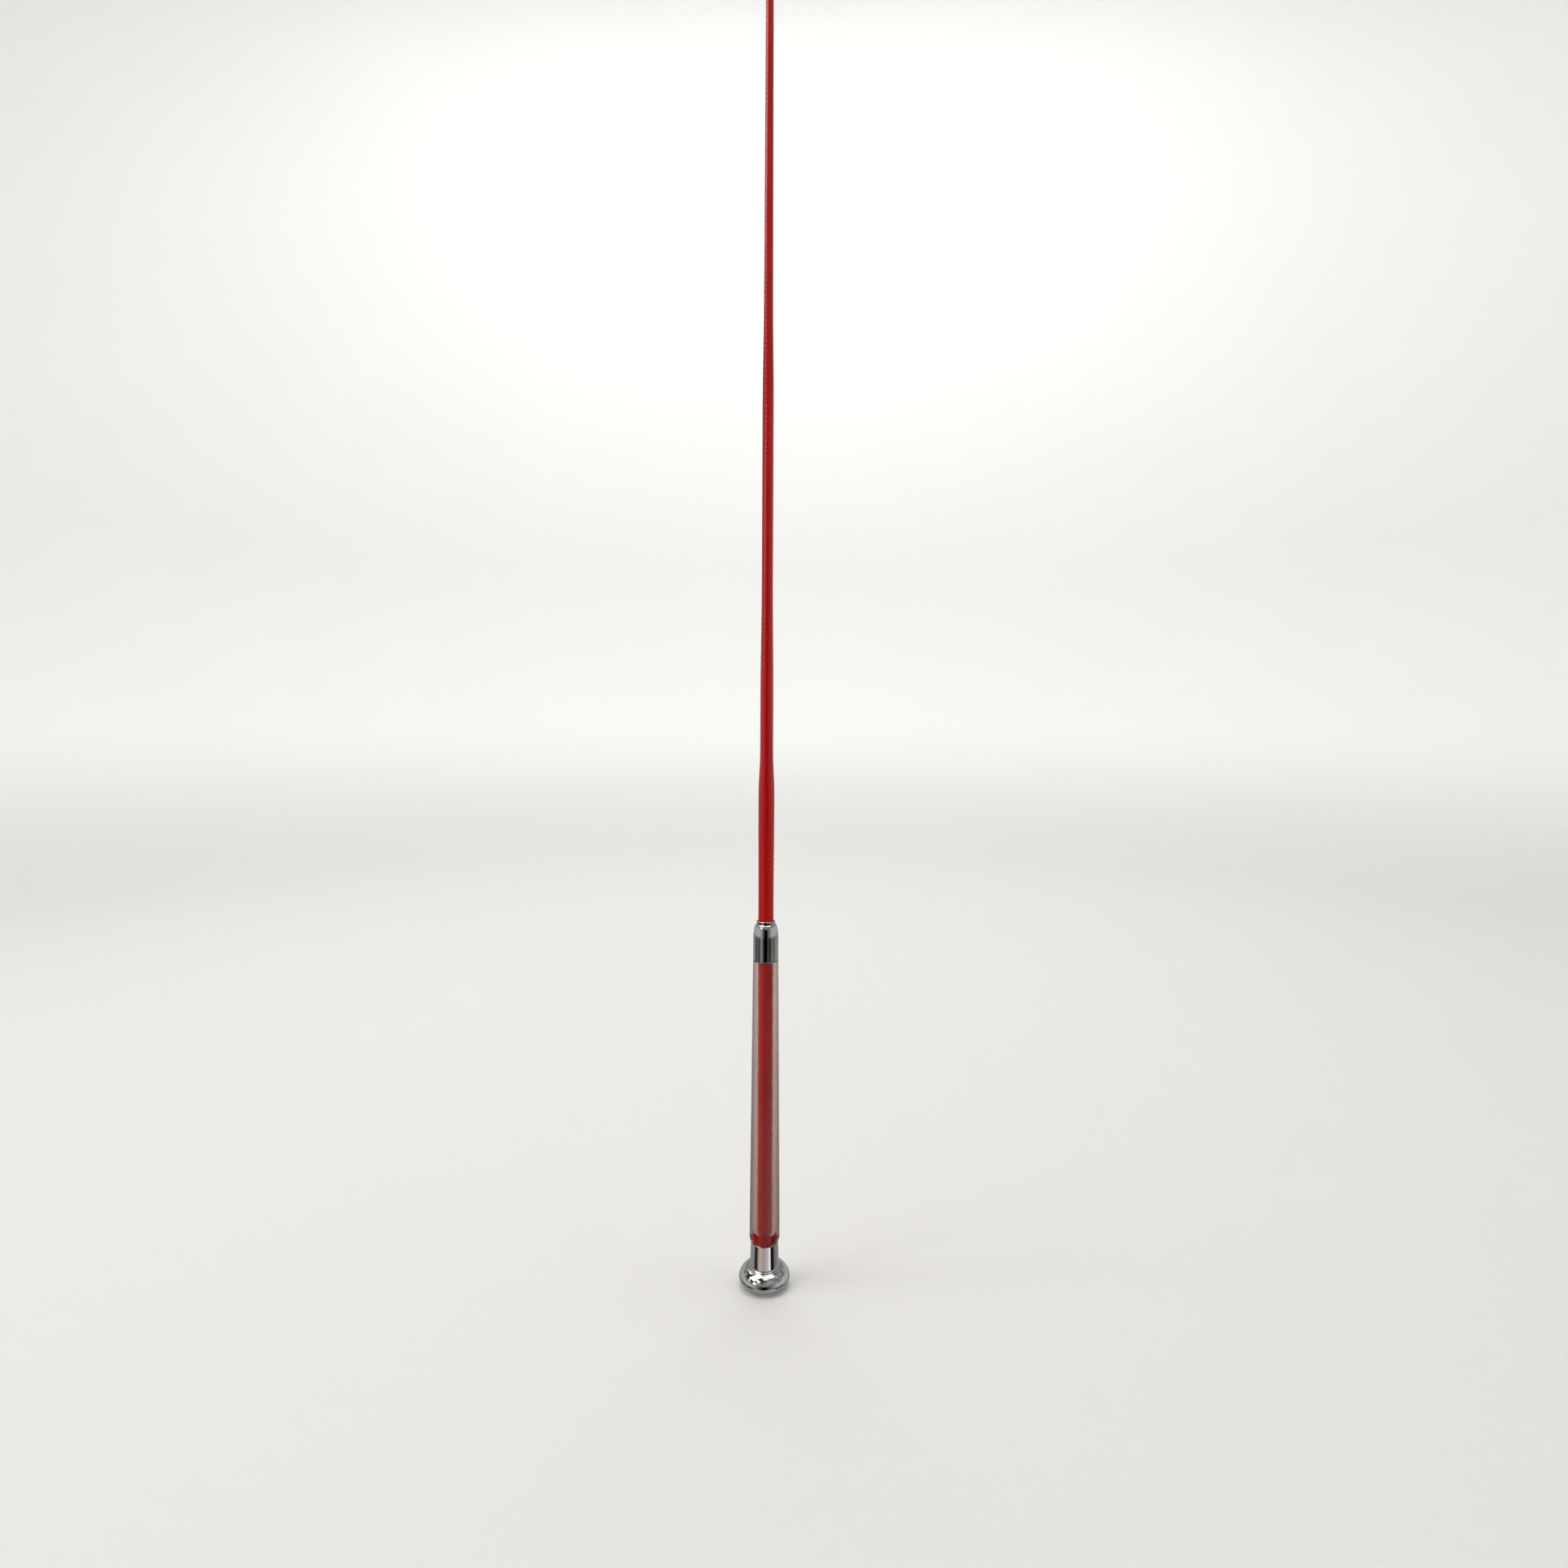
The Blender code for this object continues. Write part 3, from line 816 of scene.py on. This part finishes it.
def make_world():
    """What polished surfaces reflect: a grey room with black flags and pale reflectors.

    Around the whip it has three belts, one above the other, each with its own flags, and overhead
    it is mottled, with the most contrast near the lamps.
    """
    world = bpy.data.worlds.new("studio")
    bpy.context.scene.world = world
    world.use_nodes = True
    world.cycles.sampling_method = "NONE"
    nodes = Shader(world.node_tree)
    spot = nodes.add("ShaderNodeTexCoord")
    parts = nodes.add("ShaderNodeSeparateXYZ")
    nodes.join(spot.outputs["Generated"], parts.inputs[0])
    toward = nodes.math("MULTIPLY", parts.outputs["Y"], -1.0)
    turn = nodes.math("ARCTAN2", parts.outputs["X"], toward)
    share = nodes.remap(turn, -math.pi, math.pi, 0.0, 1.0)
    low_belt = [
        (-180, 0.37),
        (-90, 0.34),
        (-80, 0.01),
        (-65, 0.01),
        (-40, (0.70, 0.58, 0.52)),
        (-25, (0.72, 0.57, 0.50)),
        (-8, (0.50, 0.43, 0.45)),
        (15, (0.66, 0.60, 0.68)),
        (30, (0.74, 0.69, 0.76)),
        (38, (1.20, 1.15, 1.20)),
        (47, (1.25, 1.20, 1.22)),
        (55, 0.01),
        (75, 0.01),
        (95, 0.25),
        (180, 0.37),
    ]
    middle_belt = [
        (-180, 0.40),
        (-120, 0.35),
        (-100, 0.06),
        (-80, 0.18),
        (-60, 0.05),
        (-40, 0.35),
        (-15, 0.0),
        (10, 0.0),
        (25, 0.10),
        (40, 0.0),
        (60, 0.25),
        (80, 0.13),
        (100, 0.33),
        (180, 0.40),
    ]
    high_belt = [
        (-180, 0.45),
        (-70, 0.60),
        (-40, 0.45),
        (-20, 0.08),
        (-5, 0.0),
        (10, 0.0),
        (30, 0.20),
        (60, 0.55),
        (90, 0.60),
        (180, 0.45),
    ]
    height = parts.outputs["Z"]
    low, middle, high = (
        nodes.ramp(share, angle_stops(belt)) for belt in (low_belt, middle_belt, high_belt)
    )

    def above(limits, below, upper):
        return nodes.mix(nodes.remap(height, *limits, 0.0, 1.0, smooth=True), below, upper)

    clutter = nodes.noise(spot.outputs["Generated"], 3.4, 1.0, 0.5)
    calm = nodes.ramp(clutter, greys((0.36, 0.22), (0.46, 0.31), (0.58, 0.36), (0.67, 0.55)))
    busy = nodes.ramp(clutter, greys((0.42, 0.01), (0.48, 0.10), (0.53, 0.55), (0.58, 1.7)))
    lamp_side = nodes.add("ShaderNodeVectorMath", operation="DOT_PRODUCT")
    nodes.join(spot.outputs["Generated"], lamp_side.inputs[0])
    lamp_side.inputs[1].default_value = (-0.42, -0.10, 0.90)
    near_lamps = nodes.remap(lamp_side.outputs["Value"], 0.66, 0.88, 0.0, 1.0, smooth=True)
    overhead = nodes.mix(near_lamps, calm, busy)

    sky = above(FLOOR_TO_LOW, (0.34, 0.335, 0.32, 1), low)
    sky = above(LOW_TO_MIDDLE, sky, middle)
    sky = above(MIDDLE_TO_HIGH, sky, high)
    sky = above(HIGH_TO_OVERHEAD, sky, overhead)
    background = world.node_tree.nodes["Background"]
    nodes.join(sky, background.inputs["Color"])


def make_studio():
    make_stage()
    make_world()
    warm = (1, 0.998, 0.99)
    make_window("window", (-1.45, -0.40, 1.95), (0, 0, 0.3), 0.42, 0.12, 3, warm)
    make_lamp("low_panel", (-1.30, -1.25, 0.95), (0, 0, 0.2), (0.45, 0.35), 2.2)
    for side, name in ((-1, "ceiling_left"), (1, "ceiling_right")):
        make_lamp(name, (side * 0.7, 0.1, 2.9), (side * 0.4, 0.2, 0), (0.9, 1.6), 16, warm)
    make_lamp("back", (0, 1.2, 2.9), (0, 2.7, 0.4), (1.6, 0.8), 28, warm)
    bpy.context.scene.view_settings.view_transform = "Standard"


# ---------------------------------------------------------------- the whip


def make_whip():
    chrome_finish = chrome()
    turned_again("cap_shell", "chrome", chrome_finish, 160)
    turned_again("cap_end_disc", "chrome", chrome_finish)
    turned_again("ferrule_shell", "chrome", chrome_finish, 160)
    turned_again("tip_cap", "black_nylon", nylon(), 64)

    ferrule_low, ferrule_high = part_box("ferrule_shell")
    braid = Braid("shaft_braid", (ferrule_low.z + ferrule_high.z) / 2)
    points, closed = outline_of("grip_sleeve")
    sleeve_line = refine(squeezed(points, braid), closed)
    sleeve = turned("grip_sleeve_finished", sleeve_line, closed, clear_plastic(), 160)
    attach(sleeve, "clear_sleeve", "grip_sleeve")

    last = len(braid.rows) - 1
    in_ferrule = braid.row_at(braid.grip_end)
    halfway = (in_ferrule + last) // 2
    shaft_finish = lacquered_yarn()
    braid.piece("braid_in_grip", 1, in_ferrule, dry_yarn())
    braid.piece("braid_lower_shaft", in_ferrule, halfway, shaft_finish)
    braid.piece("braid_upper_shaft", halfway, last, shaft_finish)

    thread_finish = thread()
    wound_thread("tip_binding", thread_finish, braid)
    wound_thread("butt_binding", thread_finish, braid)

    inside = {
        steel(): ("balance_weight", "cap_pin"),
        nylon(): ("cap_insert", "ferrule_bush"),
        glass_fibre(): ("core_rod",),
        cotton_winding(): ("underlay_inner", "underlay_middle", "underlay_outer"),
    }
    for finish, names in inside.items():
        for name in names:
            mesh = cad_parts[name].data
            mesh.materials.clear()
            mesh.materials.append(finish)


make_camera()
make_studio()
make_whip()
